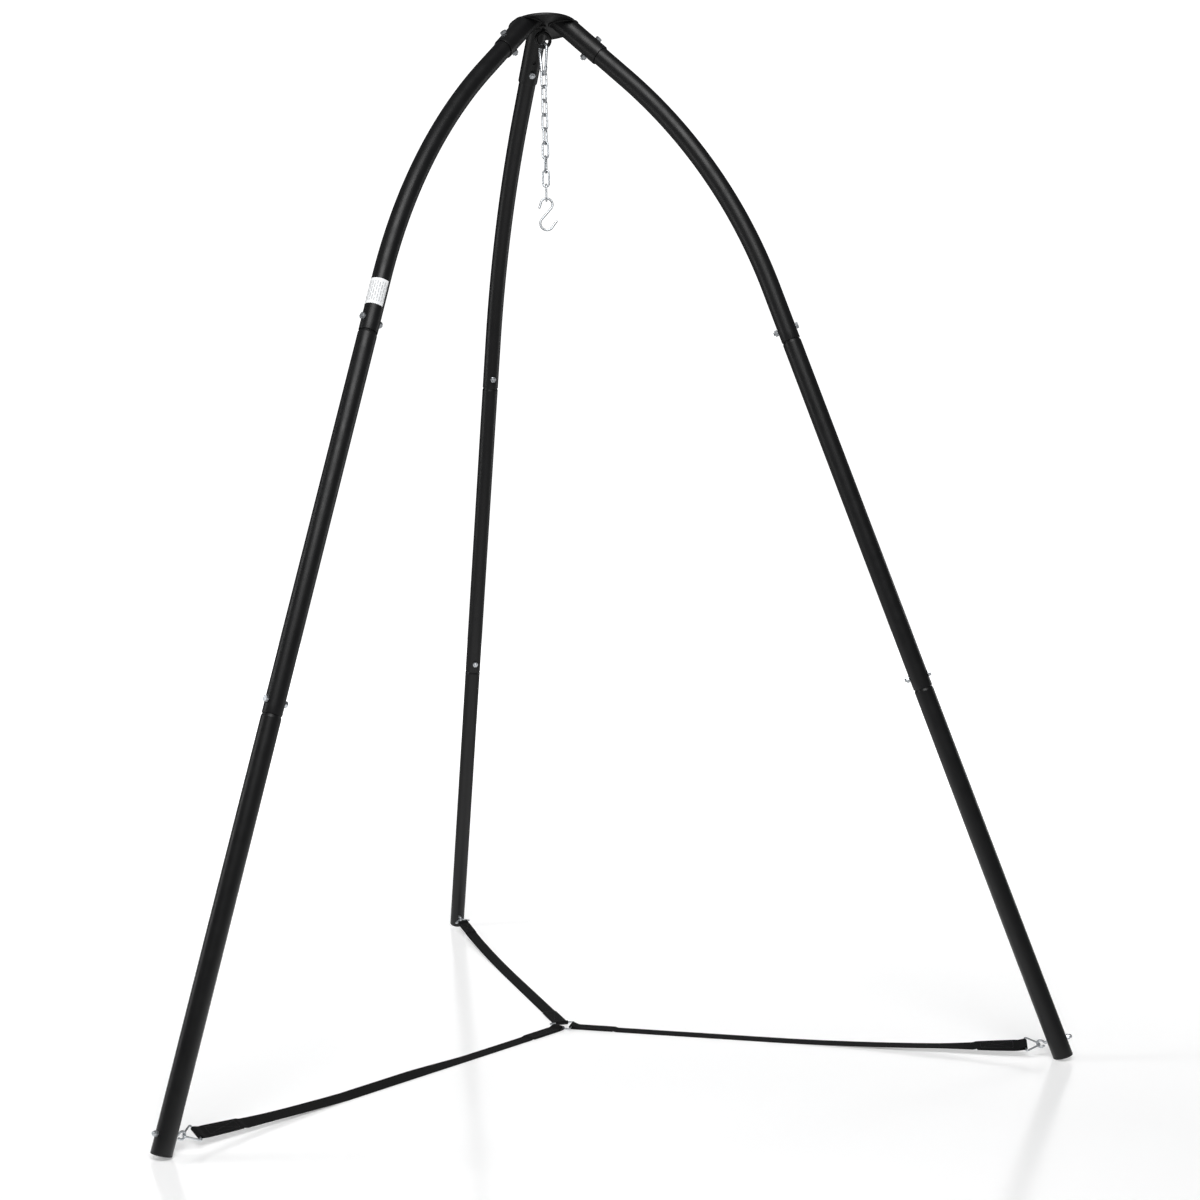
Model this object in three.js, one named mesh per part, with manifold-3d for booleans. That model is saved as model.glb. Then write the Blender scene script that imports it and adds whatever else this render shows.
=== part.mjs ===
// Tripod stand for a hanging chair. Three bent legs meet in a hub, and a snap hook, a chain and
// an S-hook hang from the hub's eye. Three webbing straps tie the feet to a ring on the floor.
// Millimetres, +Z up, floor at z = 0. The rear leg stands towards +Y.
import * as THREE from 'three';
import { mergeVertices } from 'three/addons/utils/BufferGeometryUtils.js';
import Module from 'manifold-3d';

const wasm = await Module();
wasm.setup();

const degrees = Math.PI / 180;
const gap = 0.3;            // left between pieces that touch
const play = 0.5;           // between pieces that hang on one another

// Legs
const legAzimuth = { left: 210, right: 330, rear: 90 };
const tubeRadius = 20;
const tubeWall = 1.5;
const tubeSides = 16;
const footReach = 1051;     // from the hub's axis to the middle of a foot
const leanAngle = 18.9 * degrees;   // of a straight leg from the vertical
const topAngle = 45.2 * degrees;    // of the leg where it enters the hub
const lowerLength = 800;
const middleLength = 793;
const upperLength = 790;    // as far as the mouth of the hub's socket
const bendStart = 125;      // straight part of the upper tube below its bend
const bendLength = 583;
const insertion = 85;       // of the upper tube in the socket

// Joints of the leg tubes
const neckRadius = 18;
const neckLength = 57;
const grooveWidth = 5;      // open groove that shows at each joint
const boltAboveSeam = 28;
const spareHoleAboveSeam = 57;
const boltRadius = 4;
const headFlats = 13;
const headHeight = 5.3;
const nutHeight = 6.5;
const threadEnd = 3;        // of thread past the nut

// Label round the left leg
const labelAboveSeam = 57;
const labelHeight = 56;
const labelThickness = 0.5;
const labelStart = 165 * degrees;   // from the leg's outer side, towards its left
const labelWrap = 300 * degrees;

// Feet
const capFlange = 2.5;
const plugRadius = 18.1;
const plugLength = 14;
const eyeBoltHeight = 35;   // along the leg from its end
const eyeBoltRadius = 3;
const eyeRadius = 7;
const eyeWire = 2.2;
const eyeDistance = 33;     // from the leg's axis to the middle of the eye
const domeFlats = 10;
const domeBase = 5;
const domeRadius = 4.6;

// Hub
const plateRadius = 78;
const plateThickness = 6.5;
const lipDepth = 3;
const socketRadius = 22.5;
const socketBore = 20.5;
const hubEyeRadius = 16.25;
const hubEyeWire = 4;
const hubEyeDrop = 30;      // from the plate to the middle of the ring

// Snap hook
const snapWire = 3.5;
const snapHeight = 69;      // between the middles of its top and bottom bars
const snapTopRadius = 14.5;
const snapBottomRadius = 8;
const gateLength = 37;
const gateRadius = 2.9;
const snapTurn = 105.9;     // azimuth of the hook's back

// Chain and S-hook
const linkCount = 9;
const linkWire = 2.2;
const linkEndRadius = 6.7;
const linkLength = 36.9;    // between the middles of a link's end bars
const linkTwist = 7.1;      // added to the quarter turn from one link to the next
const hookWire = 2.5;
const hookUpperRadius = 13.5;
const hookLowerRadius = 15;
const hookSpan = 43;        // between the middles of its two bends

// Straps and rings on the floor
const strapWidth = 32;
const strapThickness = 2;
const foldLength = 95;      // of webbing folded back and sewn at each end
const ringWire = 2;
const ringSide = 62;
const ringCorner = 6;
const triangleWire = 1.75;
const triangleHalfBar = 22.5;
const triangleLength = 31;  // from its bar to the sharp corner that its apex rounds
const triangleApex = 5;     // rounding of its apex
const triangleCorner = 3;   // rounding at the ends of its bar
const liftShare = 0.45;     // share of the strap that lies on the floor

const finishes = {
  paintedSteel: { color: 0x17181a, roughness: 0.42, metalness: 0.55 },
  plasticCap: { color: 0x101012, roughness: 0.6, metalness: 0 },
  zinc: { color: 0xb9bdc0, roughness: 0.3, metalness: 1 },
  webbing: { color: 0x131314, roughness: 0.9, metalness: 0 },
  paper: { color: 0xe9eaea, roughness: 0.7, metalness: 0 },
};

// Welds the vertices, drops empty faces and turns the faces outward.
function closed(geometry) {
  const bare = new THREE.BufferGeometry();
  bare.setAttribute('position', geometry.getAttribute('position'));
  bare.setIndex(geometry.getIndex());
  const welded = mergeVertices(bare, 1e-4);
  const position = welded.getAttribute('position');
  const index = welded.getIndex();
  const corner = (i) => new THREE.Vector3().fromBufferAttribute(position, index.getX(i));
  const faces = [];
  let volume = 0;
  for (let i = 0; i < index.count; i += 3) {
    const [a, b, c] = [index.getX(i), index.getX(i + 1), index.getX(i + 2)];
    if (a === b || b === c || c === a) continue;
    faces.push([a, b, c]);
    volume += corner(i).dot(corner(i + 1).cross(corner(i + 2)));
  }
  welded.setIndex(faces.flatMap(([a, b, c]) => (volume > 0 ? [a, b, c] : [a, c, b])));
  return welded;
}

function toSolid(geometry) {
  const clean = closed(geometry);
  return new wasm.Manifold(new wasm.Mesh({
    numProp: 3,
    vertProperties: new Float32Array(clean.getAttribute('position').array),
    triVerts: new Uint32Array(clean.getIndex().array),
  }));
}

function fromSolid(solid) {
  const mesh = solid.getMesh();
  const geometry = new THREE.BufferGeometry();
  geometry.setAttribute('position', new THREE.BufferAttribute(mesh.vertProperties, 3));
  geometry.setIndex(new THREE.BufferAttribute(mesh.triVerts, 1));
  return geometry;
}

function join(...geometries) {
  return fromSolid(geometries.map(toSolid).reduce((whole, piece) => whole.add(piece)));
}

function cut(geometry, ...tools) {
  return fromSolid(tools.map(toSolid).reduce((whole, tool) => whole.subtract(tool), toSolid(geometry)));
}

function circlePoints(radius, sides) {
  const angles = Array.from({ length: sides }, (_, i) => (2 * Math.PI * i) / sides);
  return angles.map((angle) => new THREE.Vector2(radius * Math.cos(angle), radius * Math.sin(angle)));
}

// A ring-shaped profile of [radius, height] pairs, turned about the Z axis.
function turned(profile, sides) {
  const points = profile.map(([radius, height]) => new THREE.Vector2(radius, height));
  return new THREE.LatheGeometry([...points, points[0]], sides).rotateX(Math.PI / 2);
}

// A cylinder along Z from one height to another; six sides make a hexagon.
function rod(radius, from, to, sides = 8) {
  const length = to - from;
  return new THREE.CylinderGeometry(radius, radius, length, sides)
    .rotateX(Math.PI / 2).translate(0, 0, from + length / 2);
}

function hexagon(flats, from, to) {
  return rod(flats / 2 / Math.cos(Math.PI / 6), from, to, 6);
}

// A path drawn in the XZ plane, as a curve in space.
class UprightCurve extends THREE.Curve {
  constructor(path) {
    super();
    this.path = path;
  }

  getPoint(t) {
    const point = this.path.getPoint(t);
    return new THREE.Vector3(point.x, 0, point.y);
  }
}

function openWire(path, radius, steps, sides = 8) {
  return new THREE.ExtrudeGeometry(new THREE.Shape(circlePoints(radius, sides)),
    { steps, bevelEnabled: false, extrudePath: new UprightCurve(path) });
}

function closedWire(path, radius, steps, sides = 8) {
  return new THREE.TubeGeometry(new UprightCurve(path), steps, radius, sides, true);
}

// A closed path through the corners, each one rounded by its own radius.
function roundedPath(corners, roundings) {
  const path = new THREE.Path();
  corners.forEach((corner, i) => {
    const before = corners[(i + corners.length - 1) % corners.length].clone().sub(corner);
    const after = corners[(i + 1) % corners.length].clone().sub(corner);
    const tangent = roundings[i] / Math.tan(Math.abs(before.angleTo(after)) / 2);
    const start = corner.clone().addScaledVector(before.normalize(), tangent);
    const end = corner.clone().addScaledVector(after.normalize(), tangent);
    if (i === 0) path.moveTo(start.x, start.y);
    else path.lineTo(start.x, start.y);
    path.quadraticCurveTo(corner.x, corner.y, end.x, end.y);
  });
  path.closePath();
  return path;
}

// ---- Leg line, in the plane of one leg: x away from the hub's axis, z up ----

const bendFrom = lowerLength + middleLength + bendStart;
const bendRadius = bendLength / (topAngle - leanAngle);
const lowerSeam = lowerLength;
const upperSeam = lowerLength + middleLength;
const socketSeam = upperSeam + upperLength;

// The point and the lean at a distance along the leg from its lower end.
function legAt(distance) {
  const start = new THREE.Vector3(footReach, 0, tubeRadius * Math.sin(leanAngle));
  const along = (angle) => new THREE.Vector3(-Math.sin(angle), 0, Math.cos(angle));
  const bent = THREE.MathUtils.clamp(distance - bendFrom, 0, bendLength);
  const angle = leanAngle + bent / bendRadius;
  const point = start.addScaledVector(along(leanAngle), Math.min(distance, bendFrom));
  point.x += bendRadius * (Math.cos(angle) - Math.cos(leanAngle));
  point.z += bendRadius * (Math.sin(angle) - Math.sin(leanAngle));
  point.addScaledVector(along(angle), Math.max(distance - bendFrom - bendLength, 0));
  return { point, angle };
}

class LegCurve extends THREE.Curve {
  constructor(from, to) {
    super();
    this.from = from;
    this.to = to;
  }

  getPoint(t) {
    return legAt(THREE.MathUtils.lerp(this.from, this.to, t)).point;
  }
}

// Moves a geometry made along Z so that its origin is at a distance along the leg.
function alongLeg(geometry, distance) {
  const { point, angle } = legAt(distance);
  return geometry.rotateY(-angle).translate(point.x, point.y, point.z);
}

// The same for a geometry whose Z axis crosses the leg and points inward.
function acrossLeg(geometry, distance) {
  const { point, angle } = legAt(distance);
  return geometry.rotateY(-Math.PI / 2 - angle).translate(point.x, point.y, point.z);
}

function boltHole(distance, radius = boltRadius) {
  return acrossLeg(rod(radius + gap, -2 * tubeRadius, 2 * tubeRadius), distance);
}

// ---- Leg tubes ----

// A straight tube whose upper end is swaged to a neck for the next tube.
function swagedTube(from, seam, ...holes) {
  const shoulder = seam - grooveWidth / 2 - from;
  const neck = shoulder + grooveWidth;
  const top = neck + neckLength;
  const bore = tubeRadius - tubeWall;
  const tube = turned([
    [tubeRadius, 0], [tubeRadius, shoulder], [neckRadius, neck], [neckRadius, top],
    [neckRadius - tubeWall, top], [neckRadius - tubeWall, neck], [bore, shoulder], [bore, 0],
  ], tubeSides);
  return cut(alongLeg(tube, from), ...holes);
}

function lowerTube() {
  return swagedTube(capFlange + gap, lowerSeam,
    boltHole(eyeBoltHeight, eyeBoltRadius), boltHole(lowerSeam + boltAboveSeam));
}

function middleTube() {
  return swagedTube(lowerSeam + grooveWidth / 2, upperSeam,
    boltHole(lowerSeam + boltAboveSeam), boltHole(upperSeam + boltAboveSeam));
}

function upperTube() {
  const section = new THREE.Shape(circlePoints(tubeRadius, tubeSides));
  section.holes.push(new THREE.Path(circlePoints(tubeRadius - tubeWall, tubeSides)));
  const line = new LegCurve(upperSeam + grooveWidth / 2, socketSeam + insertion);
  const tube = new THREE.ExtrudeGeometry(section, { steps: 12, bevelEnabled: false, extrudePath: line });
  return cut(tube, boltHole(upperSeam + boltAboveSeam), boltHole(socketSeam + boltAboveSeam));
}

// A blank paper label wrapped most of the way round the upper tube.
function label() {
  const inner = tubeRadius + gap;
  const section = new THREE.Shape();
  section.absarc(0, 0, inner + labelThickness, labelStart, labelStart + labelWrap, false);
  section.absarc(0, 0, inner, labelStart + labelWrap, labelStart, true);
  const sheet = new THREE.ExtrudeGeometry(section,
    { depth: labelHeight, bevelEnabled: false, curveSegments: 24 });
  return alongLeg(sheet, upperSeam + labelAboveSeam);
}

// ---- Fasteners ----

// A hexagon bolt across the leg, its head outside.
function bolt(distance, outerRadius) {
  const head = outerRadius + gap;
  const shankEnd = outerRadius + gap + nutHeight + threadEnd;
  return acrossLeg(join(
    hexagon(headFlats, -head - headHeight, -head),
    rod(boltRadius, -head - 1, shankEnd),
  ), distance);
}

function nut(distance, outerRadius) {
  const seat = outerRadius + gap;
  const body = hexagon(headFlats, seat, seat + nutHeight);
  return acrossLeg(cut(body, rod(boltRadius + gap, seat - 1, seat + nutHeight + 1)), distance);
}

function eyeBolt() {
  const eye = new THREE.TorusGeometry(eyeRadius, eyeWire, 6, 16)
    .rotateX(Math.PI / 2).translate(0, 0, eyeDistance);
  const shank = rod(eyeBoltRadius, -tubeRadius - domeBase - 3, eyeDistance - eyeRadius);
  return acrossLeg(join(eye, shank), eyeBoltHeight);
}

function domeNut() {
  const seat = -tubeRadius - gap;
  const dome = new THREE.SphereGeometry(domeRadius, 8, 5).translate(0, 0, seat - domeBase - 1);
  const body = join(hexagon(domeFlats, seat - domeBase, seat), dome);
  return acrossLeg(cut(body, rod(eyeBoltRadius + gap, seat - domeBase - 3, seat + 1)), eyeBoltHeight);
}

function footCap() {
  const top = capFlange + plugLength;
  const cap = new THREE.LatheGeometry([
    [0, 0], [tubeRadius, 0], [tubeRadius, capFlange], [plugRadius, capFlange], [plugRadius, top],
    [plugRadius - 2, top], [plugRadius - 2, capFlange], [0, capFlange],
  ].map(([radius, height]) => new THREE.Vector2(radius, height)), tubeSides);
  return alongLeg(cap.rotateX(Math.PI / 2), 0);
}

// ---- Hub ----

// Height of the plate's underside: where the legs' lines leave room for the eye.
const plateReach = 48;      // from the hub's axis to where a leg's line meets the plate
const plateHeight = legAt(socketSeam).point.z
  + (legAt(socketSeam).point.x - plateReach) / Math.tan(topAngle);

function hubPlate() {
  const inner = plateRadius - 3;
  const profile = [
    [0, 0], [inner - 2, 0], [inner, -lipDepth], [plateRadius, -lipDepth], [plateRadius, 1.5],
    [inner, 4], [inner * 0.6, 5.8], [0, plateThickness],
  ].map(([radius, height]) => new THREE.Vector2(radius, height));
  return new THREE.LatheGeometry(profile, 24).rotateX(Math.PI / 2).translate(0, 0, plateHeight);
}

// One socket, open at its lower end and cut off inside the plate.
function socket() {
  const length = 180;
  const tube = turned([
    [socketRadius, 0], [socketRadius, length], [socketBore, length], [socketBore, 0],
  ], tubeSides);
  const above = new THREE.BoxGeometry(400, 400, 200).translate(0, 0, plateHeight + 1 + 100);
  const spareHole = acrossLeg(rod(boltRadius + gap, 0, 2 * tubeRadius), socketSeam + spareHoleAboveSeam);
  return cut(alongLeg(tube, socketSeam), above, boltHole(socketSeam + boltAboveSeam), spareHole);
}

function hub() {
  const sockets = Object.values(legAzimuth).map((azimuth) => socket().rotateZ(azimuth * degrees));
  return join(hubPlate(), ...sockets);
}

function hubEye() {
  const ring = new THREE.TorusGeometry(hubEyeRadius, hubEyeWire, 8, 24)
    .rotateX(Math.PI / 2).translate(0, 0, -hubEyeDrop);
  return join(ring, rod(hubEyeWire + 1, hubEyeRadius - hubEyeDrop, -gap));
}

// ---- Snap hook, chain and S-hook; each hangs from the bar at its origin ----

const snapTop = hubEyeWire + play + snapWire;    // its top bar above the bar it hangs on
const flare = Math.asin((snapTopRadius - snapBottomRadius)
  / (snapHeight - snapTopRadius - snapBottomRadius));
const topCentre = snapTop - snapTopRadius;
const bottomCentre = snapTop - snapHeight + snapBottomRadius;
const gateSide = new THREE.Vector2(Math.cos(flare), -Math.sin(flare));
const gateUp = new THREE.Vector2(Math.sin(flare), Math.cos(flare));
const gateHinge = new THREE.Vector2(0, bottomCentre)
  .addScaledVector(gateSide, snapBottomRadius).addScaledVector(gateUp, 6);

// The body runs from the gate's hinge round the bottom, up the back and over to the nose.
function snapBody() {
  const nose = gateHinge.clone().addScaledVector(gateUp, gateLength + 2 * gap);
  const path = new THREE.Path();
  path.moveTo(gateHinge.x - gateUp.x * 3, gateHinge.y - gateUp.y * 3);
  path.lineTo(gateHinge.x - gateUp.x * 6, gateHinge.y - gateUp.y * 6);
  path.absarc(0, bottomCentre, snapBottomRadius, -flare, -Math.PI + flare, true);
  path.absarc(0, topCentre, snapTopRadius, Math.PI + flare, -flare, true);
  path.lineTo(nose.x, nose.y);
  const tongue = join(
    new THREE.BoxGeometry(3.6, 2.2, 5).translate(0, 0, -2.5),
    rod(1.8, -1.1, 1.1).rotateX(Math.PI / 2),
  ).rotateY(flare).translate(gateHinge.x, 0, gateHinge.y);
  return join(openWire(path, snapWire, 36), tongue);
}

// The gate: a rod with a fork at its lower end that closes over the body's tongue.
function snapGate() {
  const fork = new THREE.BoxGeometry(8, 2.2 + 2 * gap, 6.5).translate(0, 0, -0.5);
  const gate = cut(rod(gateRadius, -1.8, gateLength, 16), fork);
  return gate.rotateY(flare).translate(gateHinge.x, 0, gateHinge.y);
}

function chainLink() {
  const top = 2 * linkWire + play;
  const [upper, lower] = [top - linkEndRadius, top - linkLength + linkEndRadius];
  const path = new THREE.Path();
  path.absarc(0, upper, linkEndRadius, Math.PI / 2, Math.PI, false);
  path.absarc(0, lower, linkEndRadius, Math.PI, 2 * Math.PI, false);
  path.absarc(0, upper, linkEndRadius, 0, Math.PI / 2, false);
  return closedWire(path, linkWire, 22, 6);
}

function sHook() {
  const top = linkWire + play + hookWire;
  const upper = top - hookUpperRadius;
  const lower = upper - hookSpan;
  const slant = Math.asin((hookUpperRadius + hookLowerRadius) / hookSpan);
  const path = new THREE.Path();
  path.moveTo(-hookUpperRadius - 3, upper - 8);
  path.lineTo(-hookUpperRadius * Math.cos(0.1), upper + hookUpperRadius * Math.sin(0.1));
  path.absarc(0, upper, hookUpperRadius, Math.PI - 0.1, -slant, true);
  path.absarc(0, lower, hookLowerRadius, Math.PI - slant, 2 * Math.PI - 0.45, false);
  path.lineTo(hookLowerRadius + 8, lower + 6);
  return openWire(path, hookWire, 34, 6);
}

// ---- Straps and rings ----

const barHeight = ringWire + gap + strapThickness;    // of the ring's bars above the floor
const innerBar = ringSide / 2 / Math.sqrt(3);
const apex = legAt(eyeBoltHeight).point
  .add(new THREE.Vector3(-Math.cos(leanAngle), 0, -Math.sin(leanAngle)).multiplyScalar(eyeDistance));
apex.x -= eyeRadius - eyeWire - triangleWire - 2 * play;
const apexHalf = Math.atan(triangleHalfBar / triangleLength);
const triangleTip = triangleLength - triangleApex / Math.tan(apexHalf) * Math.cos(apexHalf) / 2;
const outerBar = apex.x - triangleTip;
const liftFrom = THREE.MathUtils.lerp(innerBar, outerBar, liftShare);
const liftSlope = 2 * (apex.z - barHeight) / (apex.x - liftFrom + triangleTip);

// Height of the strap's underside: flat on the floor, then rising as a shallow parabola.
function strapHeight(x) {
  return liftSlope / 2 / (outerBar - liftFrom) * Math.max(x - liftFrom, 0) ** 2;
}

function strap() {
  const loop = triangleWire + gap + strapThickness;
  const ends = [
    { x: innerBar, z: barHeight, radius: barHeight, hole: ringWire + gap, facing: Math.PI },
    { x: outerBar, z: strapHeight(outerBar) + loop, radius: loop, hole: triangleWire + gap, facing: 0 },
  ];
  const round = ({ x, z, radius, facing }) => Array.from({ length: 9 }, (_, i) => {
    const angle = facing - Math.PI / 2 + (Math.PI * i) / 8;
    return new THREE.Vector2(x + radius * Math.cos(angle), z + radius * Math.sin(angle));
  });
  const [from, to] = [innerBar + 14, outerBar - 14];
  const under = Array.from({ length: 15 }, (_, i) => THREE.MathUtils.lerp(from, to, i / 14));
  const folds = [innerBar + foldLength, outerBar - foldLength];
  const over = [...under, folds[0], folds[0] + 0.5, folds[1] - 0.5, folds[1]].sort((a, b) => b - a);
  const layers = (x) => (x <= folds[0] || x >= folds[1] ? 2 : 1);
  const outline = [
    ...under.map((x) => new THREE.Vector2(x, strapHeight(x))),
    ...round(ends[1]),
    ...over.map((x) => new THREE.Vector2(x, strapHeight(x) + layers(x) * strapThickness)),
    ...round(ends[0]),
  ];
  const shape = new THREE.Shape(outline);
  ends.forEach(({ x, z, hole }) => {
    const points = circlePoints(hole, 12).map((point) => point.add(new THREE.Vector2(x, z)));
    shape.holes.push(new THREE.Path(points));
  });
  return new THREE.ExtrudeGeometry(shape, { depth: strapWidth, bevelEnabled: false })
    .rotateX(Math.PI / 2).translate(0, strapWidth / 2, 0);
}

// The ring that the three straps share, one on each side of it.
function centreRing() {
  const reach = 2 * innerBar;
  const corners = [30, 150, 270].map((angle) => new THREE.Vector2(
    reach * Math.cos(angle * degrees), reach * Math.sin(angle * degrees)));
  return closedWire(roundedPath(corners, corners.map(() => ringCorner)), ringWire, 24, 6)
    .rotateX(-Math.PI / 2).translate(0, 0, barHeight);
}

// The ring between a strap and its eye bolt: its bar in the strap, its apex in the eye.
function triangleRing() {
  const corners = [
    new THREE.Vector2(0, -triangleHalfBar),
    new THREE.Vector2(triangleLength, 0),
    new THREE.Vector2(0, triangleHalfBar),
  ];
  const barZ = strapHeight(outerBar) + triangleWire + gap + strapThickness;
  const slope = Math.asin((apex.z - barZ) / triangleTip);
  const path = roundedPath(corners, [triangleCorner, triangleApex, triangleCorner]);
  return closedWire(path, triangleWire, 30, 6)
    .rotateX(Math.PI / 2).rotateY(-slope).translate(outerBar, 0, barZ);
}

// ---- Assembly ----

function piece(name, geometry, finish) {
  const whole = closed(geometry);
  whole.computeVertexNormals();
  const mesh = new THREE.Mesh(whole, new THREE.MeshStandardMaterial(finishes[finish]));
  mesh.name = name;
  return mesh;
}

function leg(side) {
  const group = new THREE.Group();
  group.add(
    piece(`upper_tube_${side}`, upperTube(), 'paintedSteel'),
    piece(`middle_tube_${side}`, middleTube(), 'paintedSteel'),
    piece(`lower_tube_${side}`, lowerTube(), 'paintedSteel'),
    piece(`foot_cap_${side}`, footCap(), 'plasticCap'),
    piece(`eye_bolt_${side}`, eyeBolt(), 'zinc'),
    piece(`dome_nut_${side}`, domeNut(), 'zinc'),
    piece(`triangle_ring_${side}`, triangleRing(), 'zinc'),
    piece(`strap_${side}`, strap(), 'webbing'),
  );
  const joints = {
    hub: [socketSeam, socketRadius],
    upper: [upperSeam, tubeRadius],
    lower: [lowerSeam, tubeRadius],
  };
  for (const [joint, [seam, outerRadius]] of Object.entries(joints)) {
    group.add(
      piece(`${joint}_bolt_${side}`, bolt(seam + boltAboveSeam, outerRadius), 'zinc'),
      piece(`${joint}_nut_${side}`, nut(seam + boltAboveSeam, outerRadius), 'zinc'),
    );
  }
  if (side === 'left') group.add(piece('label', label(), 'paper'));
  group.rotation.z = legAzimuth[side] * degrees;
  return group;
}

function hangingParts() {
  const eyeBar = new THREE.Group();
  eyeBar.position.z = plateHeight - hubEyeDrop - hubEyeRadius;

  const snapHook = new THREE.Group();
  snapHook.rotation.z = (snapTurn + 180) * degrees;
  snapHook.add(piece('snap_hook_body', snapBody(), 'zinc'), piece('snap_hook_gate', snapGate(), 'zinc'));
  eyeBar.add(snapHook);

  let turn = snapTurn + 90;
  let height = snapTop - snapHeight;
  for (let number = 1; number <= linkCount; number += 1) {
    const above = number === 1 ? snapWire : linkWire;
    const link = piece(`chain_link_${number}`, chainLink(), 'zinc');
    link.position.z = height + above - linkWire;
    link.rotation.z = turn * degrees;
    eyeBar.add(link);
    height = link.position.z + 2 * linkWire + play - linkLength;
    turn += 90 + linkTwist;
  }

  const hook = piece('s_hook', sHook(), 'zinc');
  hook.position.z = height;
  hook.rotation.z = turn * degrees;
  eyeBar.add(hook);
  return eyeBar;
}

const stand = new THREE.Group();
const plate = piece('hub', hub(), 'paintedSteel');
const eye = piece('hub_eye', hubEye(), 'paintedSteel');
eye.position.z = plateHeight;
stand.add(plate, eye, hangingParts(), piece('centre_ring', centreRing(), 'zinc'));
Object.keys(legAzimuth).forEach((side) => stand.add(leg(side)));

// The origin is on the floor in the middle of the stand's box.
const box = new THREE.Box3().setFromObject(stand, true);
stand.position.y = -(box.min.y + box.max.y) / 2;

export default stand;
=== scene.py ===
import math

import bmesh
import bpy
import numpy as np
from mathutils import Matrix, Vector


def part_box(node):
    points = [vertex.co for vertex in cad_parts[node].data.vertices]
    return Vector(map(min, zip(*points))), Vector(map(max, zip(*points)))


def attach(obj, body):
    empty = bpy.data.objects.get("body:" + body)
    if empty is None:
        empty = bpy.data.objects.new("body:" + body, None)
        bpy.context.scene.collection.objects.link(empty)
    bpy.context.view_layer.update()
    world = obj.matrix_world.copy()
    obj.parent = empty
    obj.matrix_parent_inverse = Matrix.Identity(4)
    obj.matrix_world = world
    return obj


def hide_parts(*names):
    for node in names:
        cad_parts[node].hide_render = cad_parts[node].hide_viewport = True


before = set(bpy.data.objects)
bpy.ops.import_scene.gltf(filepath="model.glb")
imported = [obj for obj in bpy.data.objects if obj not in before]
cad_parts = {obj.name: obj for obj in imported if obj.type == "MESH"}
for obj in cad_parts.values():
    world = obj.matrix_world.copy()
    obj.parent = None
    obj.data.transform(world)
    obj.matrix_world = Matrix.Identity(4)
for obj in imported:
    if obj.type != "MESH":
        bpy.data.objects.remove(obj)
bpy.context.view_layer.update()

# Metres, floor at z = 0, the rear leg towards +Y. A leg is drawn in its own plane,
# x away from the hub's axis and z up, and then turned to its side.

mm = 0.001
gap = 0.3 * mm          # between pieces that touch
play = 0.5 * mm         # between pieces that hang on one another
hubMiddle = (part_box("hub_eye")[0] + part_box("hub_eye")[1]) / 2

legLine = {
    "sides": {"left": 210, "right": 330, "rear": 90},      # azimuth of each leg
    "footReach": 1.051,
    "lean": math.radians(18.9),
    "topLean": math.radians(45.2),
    "lowerSeam": 0.800,
    "upperSeam": 1.593,
    "socketSeam": 2.383,
    "bendFrom": 1.718,
    "bendLength": 0.583,
}
tubeSizes = {"radius": 20 * mm, "wall": 1.5 * mm, "neckRadius": 18 * mm, "neckLength": 57 * mm,
             "groove": 5 * mm, "insertion": 85 * mm, "boltAbove": 28 * mm, "holeMargin": 8 * mm}
boltAt = {level: legLine[seam] + tubeSizes["boltAbove"] for level, seam in
          (("hub", "socketSeam"), ("upper", "upperSeam"), ("lower", "lowerSeam"))}


# Camera, light and floor.

viewPoint = {
    "place": (-0.9853, hubMiddle.y - 3.2093, 1.003),
    "azimuth": 76.27,       # of the line of sight
    "pitch": 0.10,
    "roll": -1.22,
    "lens": 44.5,
    "shift": (0.1099, -0.0149),
}


def placed(name, data):
    obj = bpy.data.objects.new(name, data)
    bpy.context.scene.collection.objects.link(obj)
    return obj


def makeCamera(look):
    azimuth, pitch, roll = (math.radians(look[key]) for key in ("azimuth", "pitch", "roll"))
    level = math.cos(pitch)
    ahead = Vector((level * math.cos(azimuth), level * math.sin(azimuth), math.sin(pitch)))
    right = ahead.cross(Vector((0, 0, 1))).normalized()
    up = right.cross(ahead)
    tilted = right * math.cos(roll) + up * math.sin(roll)
    axes = Matrix((tilted, tilted.cross(ahead), -ahead)).transposed()
    data = bpy.data.cameras.new("viewCamera")
    data.sensor_width = 36
    data.lens = look["lens"]
    data.shift_x, data.shift_y = look["shift"]
    camera = placed("viewCamera", data)
    camera.matrix_world = Matrix.Translation(look["place"]) @ axes.to_4x4()
    bpy.context.scene.camera = camera


makeCamera(viewPoint)

studio = {
    "skyHigh": 0.10,        # strength of the light from overhead
    "skyLow": 0.17,         # and from the horizon
    "skyTop": 0.8,          # rise of a direction from which the sky is even
    "skyColour": (0.97, 0.985, 1.0, 1),
    "radius": 30,           # of the backdrop and the floor
    "backdropGlow": 1.15,
    "floorGlow": (0.34, 1.60, 2.8, 10.0),   # near, far, and where one turns into the other
    "floorMiddle": (-0.95, -3.30),          # below the largest softbox
    "floorColour": (0.9, 0.9, 0.9, 1),
    "floorGloss": 0.22,     # share of the floor's light that is reflected
    "floorRoughness": 0.16,
    "cardGlow": 1.0,        # of the wall that only the floor reflects
    "bounceGlow": (1.30, 0.40, 0.9, 1.6),   # of the light that the floor sends back to the legs
    "bounceMiddle": (-0.15, -0.30),
    "softboxes": [          # place, width, height, power
        ((-0.95, -3.3, 3.9), 2.6, 2.4, 170),
        ((-4.2, 0.6, 1.8), 1.0, 3.0, 44),
        ((4.6, 0.8, 1.2), 0.8, 2.0, 20),
    ],
}


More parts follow.
